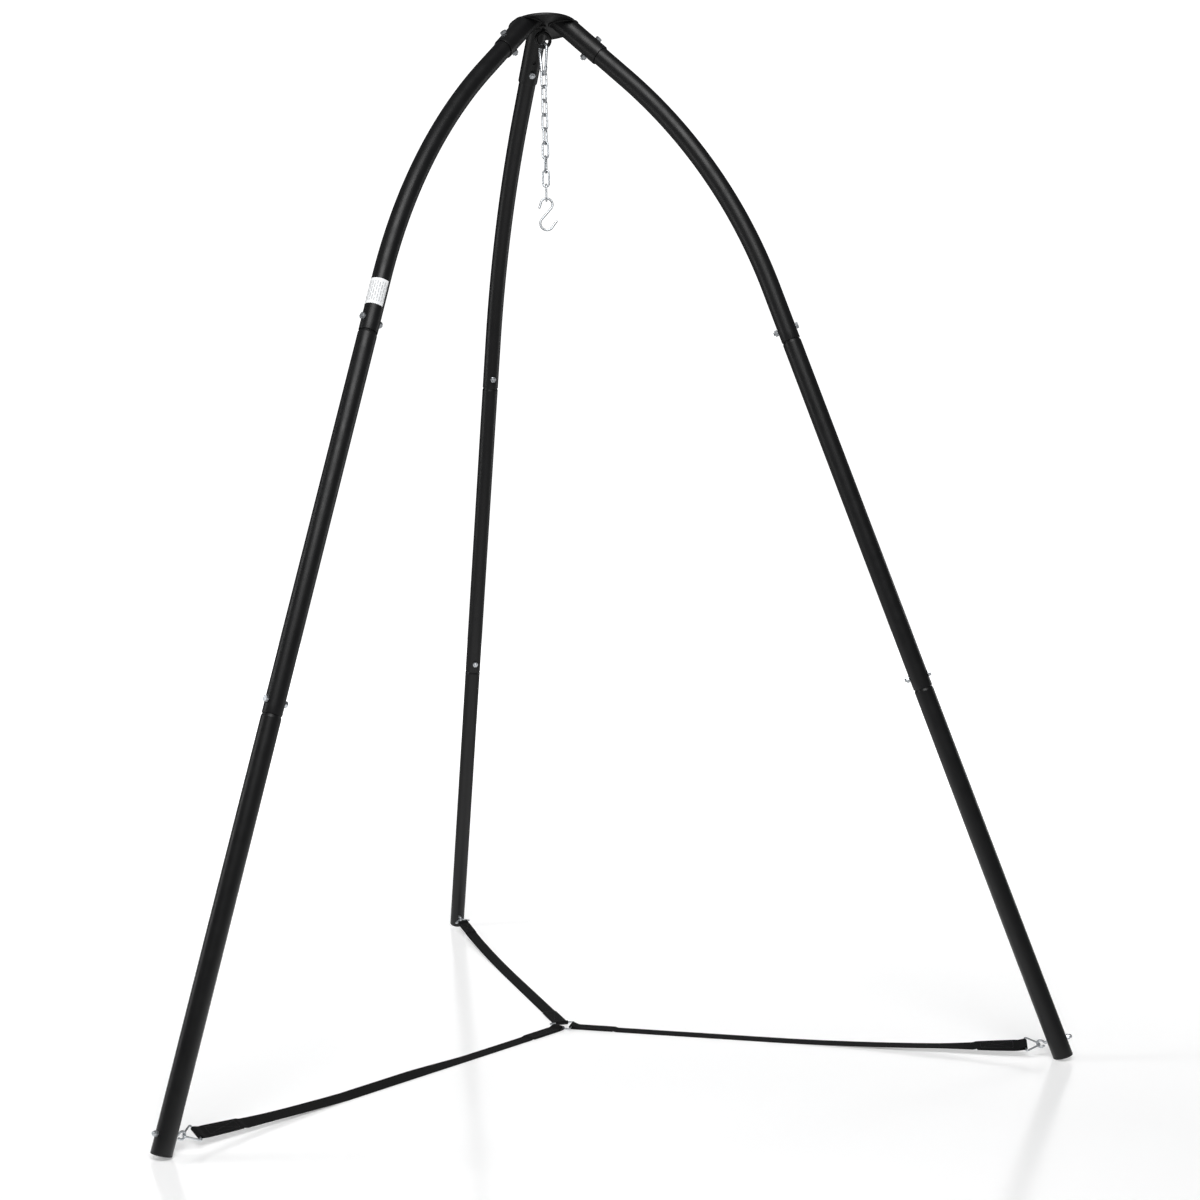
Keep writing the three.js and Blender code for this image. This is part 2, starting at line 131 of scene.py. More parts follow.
def addStage(name, verts, faces, material):
    mesh = bpy.data.meshes.new(name)
    mesh.from_pydata([tuple(v) for v in verts], [], faces)
    mesh.materials.append(material)
    obj = placed(name, mesh)
    return obj


def addNode(tree, kind, inputs=None, **settings):
    # a shader node with its settings, and a value or another node's output for each input
    node = tree.nodes.new("ShaderNode" + kind)
    for key, value in settings.items():
        setattr(node, key, value)
    for key, value in (inputs or {}).items():
        if isinstance(value, bpy.types.NodeSocket):
            tree.links.new(value, node.inputs[key])
        else:
            node.inputs[key].default_value = value
    return node


def mapRange(tree, value, fromLow, fromHigh, low, high):
    return addNode(tree, "MapRange", {"Value": value, "From Min": fromLow, "From Max": fromHigh,
                                      "To Min": low, "To Max": high}).outputs["Result"]


def fading(tree, glow):
    # a strength that changes with the distance from the middle of the piece
    near, far, start, end = glow
    place = addNode(tree, "TexCoord").outputs["Object"]
    distance = addNode(tree, "VectorMath", {0: place}, operation="LENGTH")
    return mapRange(tree, distance.outputs["Value"], start, end, near, far)


def emptyMaterial(name):
    material = bpy.data.materials.new(name)
    material.use_nodes = True
    material.node_tree.nodes.clear()
    return material, material.node_tree


def glowing(name, strength):
    material, tree = emptyMaterial(name)
    if isinstance(strength, tuple):
        strength = fading(tree, strength)
    light = addNode(tree, "Emission", {"Strength": strength})
    addNode(tree, "OutputMaterial", {"Surface": light.outputs[0]})
    return material


def hideFrom(obj, *kinds):
    for kind in kinds:
        setattr(obj, "visible_" + kind, False)


def softSky(look):
    world = bpy.data.worlds.new("softSky")
    bpy.context.scene.world = world
    world.use_nodes = True
    tree = world.node_tree
    direction = addNode(tree, "TexCoord").outputs["Generated"]
    rise = addNode(tree, "SeparateXYZ", {0: direction}).outputs["Z"]
    sky = tree.nodes["Background"]
    sky.inputs["Color"].default_value = look["skyColour"]
    strength = mapRange(tree, rise, 0.0, look["skyTop"], look["skyLow"], look["skyHigh"])
    tree.links.new(strength, sky.inputs["Strength"])


def whiteFloor(look):
    material, tree = emptyMaterial("floorWhite")
    matt = addNode(tree, "BsdfDiffuse", {"Color": look["floorColour"]})
    lift = addNode(tree, "Emission", {"Strength": fading(tree, look["floorGlow"])})
    bright = addNode(tree, "AddShader", {0: matt.outputs[0], 1: lift.outputs[0]})
    gloss = addNode(tree, "BsdfGlossy", {"Roughness": look["floorRoughness"]})
    mix = addNode(tree, "MixShader", {"Fac": look["floorGloss"], 1: bright.outputs[0], 2: gloss.outputs[0]})
    addNode(tree, "OutputMaterial", {"Surface": mix.outputs[0]})
    return material


def makeStudio(look):
    softSky(look)
    others = ("diffuse", "glossy", "transmission", "volume_scatter", "shadow")

    # a dome that only the camera sees, so that it lights nothing
    bm = bmesh.new()
    bmesh.ops.create_uvsphere(bm, u_segments=48, v_segments=24, radius=look["radius"])
    dome = addStage("backdrop", [v.co for v in bm.verts], [[v.index for v in f.verts] for f in bm.faces],
                    glowing("backdropWhite", look["backdropGlow"]))
    bm.free()
    hideFrom(dome, *others)

    # the floor that is seen, and one just under it that lights the legs from below
    reach = look["radius"] * 0.9
    rim = [(reach * math.cos(a), reach * math.sin(a)) for a in np.linspace(0, 2 * math.pi, 65)[:-1]]
    floor = addStage("studioFloor", [(x, y, 0) for x, y in rim], [list(range(64))], whiteFloor(look))
    floor.location.xy = look["floorMiddle"]
    hideFrom(floor, *others)
    bounce = addStage("floorBounce", [(x, y, -2 * mm) for x, y in rim], [list(range(64))],
                      glowing("floorGlow", look["bounceGlow"]))
    bounce.location.xy = look["bounceMiddle"]
    hideFrom(bounce, "camera", "shadow")

    # a bright wall behind the stand that is reflected in the floor and lights nothing else
    far, half, high = reach * 0.85, reach * 0.9, reach * 0.5
    card = addStage("wallCard", [(-half, far, 0), (half, far, 0), (half, far, high), (-half, far, high)],
                    [[0, 1, 2, 3]], glowing("cardWhite", look["cardGlow"]))
    hideFrom(card, "camera", "diffuse", "transmission", "volume_scatter", "shadow")
    onlyFloor = bpy.data.collections.new("litByCard")
    onlyFloor.objects.link(floor)
    card.light_linking.receiver_collection = onlyFloor

    for number, (place, width, height, power) in enumerate(look["softboxes"]):
        data = bpy.data.lights.new(f"softbox{number}", "AREA")
        data.shape = "RECTANGLE"
        data.size, data.size_y, data.energy = width, height, power
        lamp = placed(f"softbox{number}", data)
        lamp.location = place
        aim = Vector((0, hubMiddle.y, 1.1)) - lamp.location
        lamp.rotation_euler = aim.to_track_quat("-Z", "Y").to_euler()


makeStudio(studio)
bpy.context.scene.view_settings.view_transform = "Standard"
print("camera, light and floor ready")


# Finishes.

class Finish:
    # a principled material with small helpers for its node tree
    def __init__(self, name, colour, sockets):
        self.material = bpy.data.materials.new(name)
        self.material.use_nodes = True
        self.tree = self.material.node_tree
        self.shader = self.tree.nodes["Principled BSDF"]
        for key, value in {"Base Color": (*colour, 1), **sockets}.items():
            self.shader.inputs[key].default_value = value

    def feed(self, socket, value):
        self.tree.links.new(value, self.shader.inputs[socket])

    def noise(self, scale, detail):
        place = addNode(self.tree, "TexCoord").outputs["Object"]
        texture = addNode(self.tree, "TexNoise", {"Scale": scale, "Detail": detail, "Vector": place})
        return texture.outputs["Fac"]

    def ramp(self, value, low, high):
        # the middle of a noise, where nearly all of it lies, spread from low to high
        return mapRange(self.tree, value, 0.35, 0.65, low, high)

    def mixColour(self, factor, first, second):
        return addNode(self.tree, "Mix", {"Factor": factor, "A": (*first, 1), "B": (*second, 1)},
                       data_type="RGBA").outputs["Result"]

    def maths(self, operation, *values):
        return addNode(self.tree, "Math", dict(enumerate(values)), operation=operation).outputs[0]

    def along(self, name):
        # the two coordinates that a piece carries along and across itself
        reader = addNode(self.tree, "Attribute", attribute_name=name)
        split = addNode(self.tree, "SeparateXYZ", {0: reader.outputs["Vector"]})
        return split.outputs["X"], split.outputs["Y"]

    def bump(self, *layers):
        # layers of (height, strength, distance), each on top of the one before
        below = {}
        for height, strength, distance in layers:
            node = addNode(self.tree, "Bump", {"Height": height, "Strength": strength,
                                               "Distance": distance, **below})
            below = {"Normal": node.outputs["Normal"]}
        self.feed("Normal", below["Normal"])


powderCoat = {"dark": (0.0036, 0.0037, 0.0040), "light": (0.0055, 0.0056, 0.0060),
              "grain": 1400, "waviness": 260, "shine": 0.26, "smooth": 0.37, "rough": 0.46}


def blackPowderCoat(look):
    finish = Finish("blackPowderCoat", look["dark"], {"Specular IOR Level": look["shine"]})
    finish.feed("Base Color", finish.mixColour(finish.noise(5, 4), look["dark"], look["light"]))
    finish.feed("Roughness", finish.ramp(finish.noise(40, 3), look["smooth"], look["rough"]))
    finish.bump((finish.noise(look["waviness"], 1), 0.10, 0.2 * mm),
                (finish.noise(look["grain"], 2), 0.14, 0.1 * mm))
    return finish.material


zincPlate = {"dull": (0.40, 0.42, 0.44), "bright": (0.53, 0.55, 0.57), "smooth": 0.34, "rough": 0.44}


def brightZinc(look):
    finish = Finish("brightZinc", look["bright"], {"Metallic": 1.0})
    cloud = finish.ramp(finish.noise(180, 4), 0, 1)
    finish.feed("Base Color", finish.mixColour(cloud, look["dull"], look["bright"]))
    finish.feed("Roughness", finish.ramp(finish.noise(420, 3), look["smooth"], look["rough"]))
    finish.bump((finish.noise(600, 2), 0.05, 0.1 * mm))
    return finish.material


mouldedCap = {"colour": (0.010, 0.010, 0.011), "texture": 900}


def blackPlastic(look):
    finish = Finish("blackPlastic", look["colour"], {"Specular IOR Level": 0.4})
    finish.feed("Roughness", finish.ramp(finish.noise(70, 2), 0.46, 0.60))
    finish.bump((finish.noise(look["texture"], 3), 0.25, 0.15 * mm))
    return finish.material


webWeave = {"dark": (0.0030, 0.0030, 0.0032), "light": (0.0100, 0.0100, 0.0105),
            "yarn": 1.5 * mm, "pick": 2.6 * mm}     # width of a warp yarn, length of one float


def blackWebbing(look):
    finish = Finish("blackWebbing", look["dark"], {"Roughness": 0.80, "Sheen Weight": 0.05,
                                                   "Sheen Roughness": 0.5, "Specular IOR Level": 0.12})
    along, across = finish.along("webPlace")
    row = finish.maths("DIVIDE", across, look["yarn"])
    ridge = finish.maths("ABSOLUTE", finish.maths("SINE", finish.maths("MULTIPLY", row, math.pi)))
    step = finish.maths("MULTIPLY", finish.maths("FLOOR", row), math.pi)
    turn = finish.maths("MULTIPLY", along, 2 * math.pi / look["pick"])
    wave = finish.maths("SINE", finish.maths("ADD", turn, step))
    overUnder = finish.maths("ADD", finish.maths("MULTIPLY", wave, 0.5), 0.5)
    yarnReliefAndShade = finish.maths("MULTIPLY", ridge, overUnder)
    fibres = finish.noise(2600, 2)
    # the weave's height also sets its colour, darker in the dips between and under the yarns and lighter on
    # their tops: this is painted shade of the weave, not a colour of the yarn
    finish.feed("Base Color", finish.mixColour(yarnReliefAndShade, look["dark"], look["light"]))
    finish.bump((yarnReliefAndShade, 0.55, 0.35 * mm), (fibres, 0.30, 0.12 * mm))
    return finish.material


def blackThread(look):
    finish = Finish("blackThread", look["light"], {"Roughness": 0.6, "Sheen Weight": 0.2,
                                                   "Sheen Roughness": 0.4})
    finish.feed("Base Color", finish.mixColour(finish.noise(900, 2), look["dark"], look["light"]))
    finish.bump((finish.noise(2400, 2), 0.4, 0.12 * mm))
    return finish.material


label = {"above": 57 * mm, "height": 56 * mm, "thickness": 0.3 * mm, "start": 165, "wrap": 300}
paperLabel = {"sheet": (0.82, 0.83, 0.84), "ink": (0.16, 0.17, 0.18), "linePitch": 5.2 * mm,
              "lineShare": 0.40, "margin": 6 * mm, "inkStrength": 0.55,
              "wordLength": 13 * mm, "wordShare": 0.80, "wordShift": 0.37}


def printedPaper(look):
    finish = Finish("printedPaper", look["sheet"], {"Roughness": 0.55, "Specular IOR Level": 0.4})
    # rows of plain dashes that run up the leg, broken like words
    around, up = finish.along("labelPlace")
    row = finish.maths("DIVIDE", around, look["linePitch"])
    inRow = finish.maths("LESS_THAN", finish.maths("FRACT", row), look["lineShare"])
    shifted = finish.maths("MULTIPLY", finish.maths("FLOOR", row), look["wordShift"])
    words = finish.maths("ADD", finish.maths("DIVIDE", up, look["wordLength"]), shifted)
    inWord = finish.maths("LESS_THAN", finish.maths("FRACT", words), look["wordShare"])
    inside = finish.maths("LESS_THAN", finish.maths("ABSOLUTE", up), label["height"] / 2 - look["margin"])
    ink = finish.maths("MULTIPLY", finish.maths("MULTIPLY", inRow, inWord), inside)
    faint = finish.maths("MULTIPLY", ink, look["inkStrength"])
    finish.feed("Base Color", finish.mixColour(faint, look["sheet"], look["ink"]))
    finish.bump((finish.noise(700, 3), 0.08, 0.1 * mm))
    return finish.material


finishes = {
    "painted_steel": blackPowderCoat(powderCoat),
    "plastic_cap": blackPlastic(mouldedCap),
    "zinc": brightZinc(zincPlate),
    "webbing": blackWebbing(webWeave),
    "thread": blackThread(webWeave),
    "paper": printedPaper(paperLabel),
}
print("finishes ready")


# Mesh helpers.

def turnSteps(sides):
    return np.arange(sides) * 2 * math.pi / sides


def circle(radius, height, sides):
    # the radius and the height may be one number or a number for each point
    angles = turnSteps(sides)
    return np.column_stack([radius * np.cos(angles), radius * np.sin(angles), np.full(sides, height)])


def skin(rings, loop=False):
    # a surface through rings of points, capped at both ends or joined into a loop
    count, sides = len(rings), len(rings[0])
    faces = []
    for i in range(count if loop else count - 1):
        here, there = i * sides, (i + 1) % count * sides
        for j in range(sides):
            k = (j + 1) % sides
            faces.append((here + j, here + k, there + k, there + j))
    if not loop:
        faces += [tuple(range(sides)), tuple(range((count - 1) * sides, count * sides))]
    return np.vstack(rings), faces


def moved(part, matrix):
    verts, faces = part
    turn = np.array(matrix.to_3x3())
    return verts @ turn.T + np.array(matrix.to_translation()), faces


def merged(parts):
    allVerts, allFaces, start = [], [], 0
    for verts, faces in parts:
        allVerts.append(verts)
        allFaces += [tuple(start + i for i in face) for face in faces]
        start += len(verts)
    return np.vstack(allVerts), allFaces


def rounded(profile, radius, loop=False, steps=4):
    # softens each corner of a profile of (a, b) pairs
    points = [Vector(p) for p in profile]
    result = []
    for i, corner in enumerate(points):
        if not loop and i in (0, len(points) - 1):
            result.append(tuple(corner))
            continue
        before, after = points[i - 1] - corner, points[(i + 1) % len(points)] - corner
        reach = min(radius, before.length * 0.45, after.length * 0.45)
        start, end = corner + before.normalized() * reach, corner + after.normalized() * reach
        result += quadratic(start, corner, end, steps + 1)
    return result


def lathe(profile, sides=48, loop=False):
    return skin([circle(max(radius, 0.2 * mm), height, sides) for radius, height in profile], loop)


def arc(centre, radius, fromAngle, toAngle, step=0.12):
    count = max(int(abs(toAngle - fromAngle) / step), 3) + 1
    return [(centre[0] + radius * math.cos(a), centre[1] + radius * math.sin(a))
            for a in np.linspace(fromAngle, toAngle, count)]


def quadratic(start, corner, end, count):
    # a bend from start to end that is drawn towards a corner
    return [tuple(start * (1 - t) ** 2 + corner * 2 * t * (1 - t) + end * t ** 2)
            for t in np.linspace(0, 1, count)]


def evenly(points, spacing, closed=False):
    # the same path with points at equal steps
    line = np.array(points + ([points[0]] if closed else []), float)
    steps = np.linalg.norm(np.diff(line, axis=0), axis=1)
    line = line[np.concatenate([[True], steps > 1e-7])]
    reached = np.concatenate([[0], np.cumsum(steps[steps > 1e-7])])
    count = max(int(round(reached[-1] / spacing)), 4)
    at = np.linspace(0, reached[-1], count + 1)
    even = np.column_stack([np.interp(at, reached, line[:, i]) for i in range(2)])
    return even[:-1] if closed else even


def wire(points, radius, spacing, sides=16, closed=False, swell=None):
    # a round wire bent in the XZ plane; swell is (where, how much, how long) for a weld
    path = evenly(points, spacing, closed)
    if closed:
        ahead = np.roll(path, -1, axis=0) - np.roll(path, 1, axis=0)
    else:
        ahead = np.gradient(path, axis=0)
    ahead /= np.linalg.norm(ahead, axis=1)[:, None]
    radii = np.array([radius(i / (len(path) - 1)) if callable(radius) else radius for i in range(len(path))])
    if swell:
        where, extra, length = swell
        offset = (np.arange(len(path)) / len(path) - where) * len(path) * spacing
        radii = radii * (1 + extra * np.exp(-(offset / length) ** 2))
    if not closed:
        # ends rounded off like cropped and tumbled wire
        for end, outward in ((0, -1), (-1, 1)):
            tip, way, full = path[end], ahead[end] * outward, radii[end]
            domed = ((0.18, 0.93), (0.30, 0.75), (0.36, 0.42))
            added = np.array([tip + way * full * out for out, _ in domed])
            sizes = np.array([full * share for _, share in domed])
            caps = ((added, path), (sizes, radii), (np.repeat(ahead[end][None], 3, axis=0), ahead))
            if end == 0:
                path, radii, ahead = (np.concatenate([cap[::-1], line]) for cap, line in caps)
            else:
                path, radii, ahead = (np.concatenate([line, cap]) for cap, line in caps)
    angles = turnSteps(sides)
    rings = []
    for point, way, size in zip(path, ahead, radii):
        side = np.array([way[1], 0, -way[0]])
        ring = np.array([point[0], 0, point[1]]) + size * (
            np.cos(angles)[:, None] * side + np.sin(angles)[:, None] * np.array([0, 1, 0]))
        rings.append(ring)
    return skin(rings, closed)


def outwardMesh(name, part):
    verts, faces = part
    mesh = bpy.data.meshes.new(name)
    mesh.from_pydata([tuple(v) for v in verts], [], faces)
    bm = bmesh.new()
    bm.from_mesh(mesh)
    bmesh.ops.recalc_face_normals(bm, faces=bm.faces)
    bm.to_mesh(mesh)
    bm.free()
    return mesh


def addPiece(name, part, finish, body="frame", replaces=(), sharp=30, drills=()):
    obj = placed(name, outwardMesh(name, part))
    for tool in drills:
        drill(obj, tool)
    obj.data.polygons.foreach_set("use_smooth", [True] * len(obj.data.polygons))
    obj.data.set_sharp_from_angle(angle=math.radians(sharp))
    obj.data.materials.clear()
    obj.data.materials.append(finishes[finish])
    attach(obj, body)
    if replaces:
        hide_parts(*replaces)
    return obj


def drill(obj, tool):
    # cuts a closed mesh out of a piece
    cutter = placed("tool", outwardMesh("tool", tool))
    cut = obj.modifiers.new("cut", "BOOLEAN")
    cut.operation, cut.solver, cut.object = "DIFFERENCE", "EXACT", cutter
    bpy.context.view_layer.update()
    evaluated = obj.evaluated_get(bpy.context.evaluated_depsgraph_get())
    result = bpy.data.meshes.new_from_object(evaluated)
    obj.modifiers.clear()
    spent = obj.data, cutter.data
    obj.data = result
    result.name = obj.name
    bpy.data.objects.remove(cutter)
    for mesh in spent:
        bpy.data.meshes.remove(mesh)


def bevelledBox(size, edge):
    bm = bmesh.new()
    bmesh.ops.create_cube(bm, size=1)
    bmesh.ops.scale(bm, vec=size, verts=bm.verts)
    bmesh.ops.bevel(bm, geom=bm.edges, offset=edge, segments=3, affect="EDGES", profile=0.5)
    part = np.array([v.co for v in bm.verts]), [tuple(v.index for v in f.verts) for f in bm.faces]
    bm.free()
    return part


# The leg's line.

def legAt(distance):
    # point and lean at a distance along the leg from its lower end
    lean, topLean = legLine["lean"], legLine["topLean"]
    bendRadius = legLine["bendLength"] / (topLean - lean)
    bent = min(max(distance - legLine["bendFrom"], 0), legLine["bendLength"])
    beyond = max(distance - legLine["bendFrom"] - legLine["bendLength"], 0)
    straight = min(distance, legLine["bendFrom"])
    angle = lean + bent / bendRadius
    x = legLine["footReach"] - math.sin(lean) * straight + bendRadius * (math.cos(angle) - math.cos(lean))
    z = tubeSizes["radius"] * math.sin(lean) + math.cos(lean) * straight
    z += bendRadius * (math.sin(angle) - math.sin(lean))
    return Vector((x - math.sin(angle) * beyond, 0, z + math.cos(angle) * beyond)), angle


def onAxis(height, azimuth=0):
    # a place on the hub's axis, turned by an azimuth in degrees
    return Matrix.Translation((0, hubMiddle.y, height)) @ Matrix.Rotation(math.radians(azimuth), 4, "Z")


def sideMatrix(side):
    return onAxis(0, legLine["sides"][side])


def alongLeg(distance):
    point, angle = legAt(distance)
    return Matrix.Translation(point) @ Matrix.Rotation(-angle, 4, "Y")


def acrossLeg(distance):
    # local Z crosses the leg and points inward
    point, angle = legAt(distance)
    return Matrix.Translation(point) @ Matrix.Rotation(-math.pi / 2 - angle, 4, "Y")


def ringOnLeg(radius, distance, sides):
    return moved((circle(radius, 0, sides), []), alongLeg(distance))[0]


def legShell(profile, sides=56):
    # a tube along the leg from a closed profile of (radius, distance)
    return skin([ringOnLeg(radius, distance, sides) for radius, distance in profile], loop=True)


def crossHole(distance, radius, fromZ=-0.03, toZ=0.03):
    return moved(lathe([(radius, fromZ), (radius, toZ)], 24), acrossLeg(distance))


def capital(side):
    return side[0].upper() + side[1:]


# Leg tubes.

def besideHoles(holes):
    # rings close to each hole keep the surface round it smooth
    margin = tubeSizes["holeMargin"]
    return [distance + offset for distance in holes for offset in (-margin, margin)]


def swagedProfile(low, seam, holes):
    radius, wall, neck = tubeSizes["radius"], tubeSizes["wall"], tubeSizes["neckRadius"]
    shoulder = seam - tubeSizes["groove"] / 2
    top = seam + tubeSizes["groove"] / 2 + tubeSizes["neckLength"]
    wide = [low] + besideHoles([h for h in holes if h < shoulder]) + [shoulder - 1 * mm]
    narrow = [shoulder + 4 * mm] + besideHoles([h for h in holes if h > shoulder]) + [top]
    outer = [(radius, d) for d in wide] + [(neck, d) for d in narrow]
    inner = [(r - wall, d) for r, d in reversed(outer)]
    return rounded(outer + inner, 0.6 * mm, loop=True, steps=3)


def upperProfile(low, high, holes):
    radius, wall = tubeSizes["radius"], tubeSizes["wall"]
    bendTop = legLine["bendFrom"] + legLine["bendLength"]
    stations = [low] + besideHoles(holes[:1]) + list(np.linspace(legLine["bendFrom"], bendTop, 60))
    stations += besideHoles(holes[1:]) + [high]
    outer = [(radius, d) for d in stations]
    inner = [(radius - wall, d) for d in reversed(stations)]
    ends = rounded([outer[0], outer[-1], inner[0], inner[-1]], 0.7 * mm, loop=True, steps=3)
    # the rounded corners of both ends, with the stations put back between them
    return ends[:4] + outer[1:-1] + ends[4:12] + inner[1:-1] + ends[12:]


def makeTubes(side):
    above = tubeSizes["groove"] / 2
    eyeHole = footEye["above"]
    profiles = {
        "lower": swagedProfile(footCap["flange"] + gap, legLine["lowerSeam"], [eyeHole, boltAt["lower"]]),
        "middle": swagedProfile(legLine["lowerSeam"] + above, legLine["upperSeam"],
                                [boltAt["lower"], boltAt["upper"]]),
        "upper": upperProfile(legLine["upperSeam"] + above, legLine["socketSeam"] + tubeSizes["insertion"],
                              [boltAt["upper"], boltAt["hub"]]),
    }
    bolts = {level: crossHole(distance, fastener["radius"] + gap) for level, distance in boltAt.items()}
    holes = {"lower": [crossHole(eyeHole, footEye["shank"] + gap), bolts["lower"]],
             "middle": [bolts["lower"], bolts["upper"]], "upper": [bolts["upper"], bolts["hub"]]}
    turn = sideMatrix(side)
    for level, profile in profiles.items():
        addPiece(f"{level}Tube{capital(side)}", moved(legShell(profile), turn), "painted_steel",
                 replaces=[f"{level}_tube_{side}"], sharp=40, drills=[moved(h, turn) for h in holes[level]])


# Fasteners.

fastener = {"radius": 4 * mm, "flats": 13 * mm, "head": 5.3 * mm, "nut": 6.5 * mm, "pitch": 1.25 * mm,
            "pastNut": 3 * mm, "chamfer": math.radians(28), "washerRadius": 5.9 * mm, "washer": 0.35 * mm}


def hexBody(flats, low, high, chamferLow, chamferHigh, bore=0.0, sides=48):
    # a hexagon whose corners are turned off where the chamfer says so
    fromFlat = (turnSteps(sides) + math.pi / 6) % (math.pi / 3) - math.pi / 6
    hexRadius = flats / 2 / np.cos(fromFlat)
    face = flats / 2 * 0.955
    fall = (hexRadius - face) * math.tan(fastener["chamfer"])
    outline = [(face, low), (hexRadius, low + fall * chamferLow), (hexRadius, high - fall * chamferHigh),
               (face, high)]
    if bore:
        edge = 0.5 * mm
        outline = [(bore, low + edge), (bore + edge, low), *outline,
                   (bore + edge, high), (bore, high - edge)]
    else:
        dish = 0.25 * mm
        outline = [(face * 0.5, low), *outline, (face * 0.78, high), (face * 0.72, high - dish)]
    return skin([circle(radius, height, sides) for radius, height in outline], loop=bool(bore))


def threadedEnd(radius, pitch, low, high, sides=36):
    # a rod with its thread cut, blunted at the upper end
    depth, blunt = 0.61 * pitch, 0.9 * mm
    rows = int((high - low) / pitch * 8)
    rings = []
    for height in np.linspace(low, high, rows + 1):
        phase = (height / pitch - turnSteps(sides) / (2 * math.pi)) % 1
        radii = radius - depth * np.abs(2 * phase - 1)
        radii = np.minimum(radii, radius - max(height - high + blunt, 0) * 0.9)
        rings.append(circle(radii, height, sides))
    return skin(rings)


def makeBolt(level, outer, side):
    seat = outer + gap
    turn = sideMatrix(side) @ acrossLeg(boltAt[level])
    flats, washer = fastener["flats"], fastener["washerRadius"]
    head = hexBody(flats, -seat - fastener["head"], -seat, True, False)
    washerFace = lathe([(washer, -seat - fastener["washer"]), (washer, -seat)], 48)
    plain = seat - 2 * mm       # the shank has no thread below this height
    radius = fastener["radius"] - 0.15 * mm
    shank = lathe([(radius, -seat - 1 * mm), (radius, plain)], 36)
    thread = threadedEnd(fastener["radius"], fastener["pitch"], plain,
                         seat + fastener["nut"] + fastener["pastNut"])
    addPiece(f"{level}Bolt{capital(side)}", moved(merged([head, washerFace, shank, thread]), turn), "zinc",
             replaces=[f"{level}_bolt_{side}"], sharp=24)
    nut = hexBody(flats, seat, seat + fastener["nut"], False, True, bore=fastener["radius"] + 0.1 * mm)
    addPiece(f"{level}Nut{capital(side)}", moved(nut, turn), "zinc",
             replaces=[f"{level}_nut_{side}"], sharp=24)


# Feet.

footEye = {"above": 35 * mm, "shank": 3 * mm, "eyeRadius": 7 * mm, "wire": 2.2 * mm, "eyeDistance": 33 * mm}
domeNut = {"flats": 10 * mm, "base": 5 * mm, "dome": 4.6 * mm}
footCap = {"flange": 2.5 * mm, "plug": 18.1 * mm, "depth": 14 * mm, "wall": 2 * mm, "recess": 0.8 * mm}


def makeEyeBolt(side):
    # shank, then a wire eye bent round until it meets the shank again
    eye, radius, wireRadius = footEye["eyeDistance"], footEye["eyeRadius"], footEye["wire"]
    low = -tubeSizes["radius"] - domeNut["base"] - 3 * mm
    start, end = math.radians(-62), math.radians(226)
    first = Vector((radius * math.cos(start), eye + radius * math.sin(start)))
    back = first.x / -math.sin(start)
    bendAt = Vector((0, first.y - back * math.cos(start)))
    foot = bendAt - Vector((0, 2.2 * mm))
    bend = quadratic(foot, bendAt, first, 9)
    path = [(0, low)] + bend + arc((0, eye), radius, start, end)[1:]
    shankEnd = (bendAt.y - 3.5 * mm - low) / (bendAt.y - low + radius * (end - start))

    def thickness(t):
        narrowing = min(max((t - shankEnd) / 0.03, 0), 1)
        return footEye["shank"] + (wireRadius - footEye["shank"]) * narrowing

    part = moved(wire(path, thickness, 0.5 * mm, 20), sideMatrix(side) @ acrossLeg(footEye["above"]))
    addPiece(f"footEye{capital(side)}", part, "zinc", replaces=[f"eye_bolt_{side}"], sharp=40)


def makeDomeNut(side):
    seat = -tubeSizes["radius"] - gap
    top = seat - domeNut["base"] - 1 * mm
    bore = footEye["shank"] + 0.1 * mm
    base = hexBody(domeNut["flats"], seat - domeNut["base"], seat, True, False, bore=bore)
    # the dome is a cup, open towards the hexagon
    dome, mouth = domeNut["dome"], seat - domeNut["base"] + 0.4 * mm
    outer = [(dome * math.cos(a), top - dome * math.sin(a)) for a in np.linspace(1.52, 0, 14)]
    cup = outer + [(dome, mouth), (bore, mouth), (bore, top - 1.4 * mm)]
    part = merged([base, lathe(cup, 40)])
    addPiece(f"domeNut{capital(side)}", moved(part, sideMatrix(side) @ acrossLeg(footEye["above"])), "zinc",
             replaces=[f"dome_nut_{side}"], sharp=24)


def makeFootCap(side):
    radius, flange, plug = tubeSizes["radius"], footCap["flange"], footCap["plug"]
    top, inner = flange + footCap["depth"], plug - footCap["wall"]
    recess = footCap["recess"]
    profile = [(0, recess), (radius * 0.62, recess), (radius * 0.68, 0), (radius, 0), (radius, flange),
               (plug - 0.5 * mm, flange)]
    for rib in range(3):        # soft ribs that grip the tube
        foot = flange + (2 + 3.6 * rib) * mm
        profile += [(plug - 0.5 * mm, foot), (plug, foot + 1.6 * mm), (plug - 0.5 * mm, foot + 2 * mm)]
    profile += [(plug - 0.9 * mm, top), (inner, top), (inner, flange + 0.4 * mm), (0, flange + 0.4 * mm)]
    part = moved(lathe(rounded(profile, 0.7 * mm, steps=4), 56), sideMatrix(side) @ alongLeg(0))
    addPiece(f"footCap{capital(side)}", part, "plastic_cap", replaces=[f"foot_cap_{side}"], sharp=35)


# Hub.

hubSizes = {"plate": 78 * mm, "dome": 6.5 * mm, "lip": 3 * mm, "socket": 22.5 * mm, "bore": 20.5 * mm,
            "plateReach": 48 * mm, "spareHole": 57 * mm, "eyeRadius": 16.25 * mm, "eyeWire": 4 * mm,
            "eyeDrop": 30 * mm, "weld": 2.3 * mm}


def plateUnderside():
    point, angle = legAt(legLine["socketSeam"])
    return point.z + (point.x - hubSizes["plateReach"]) / math.tan(angle)


plateHeight = plateUnderside()


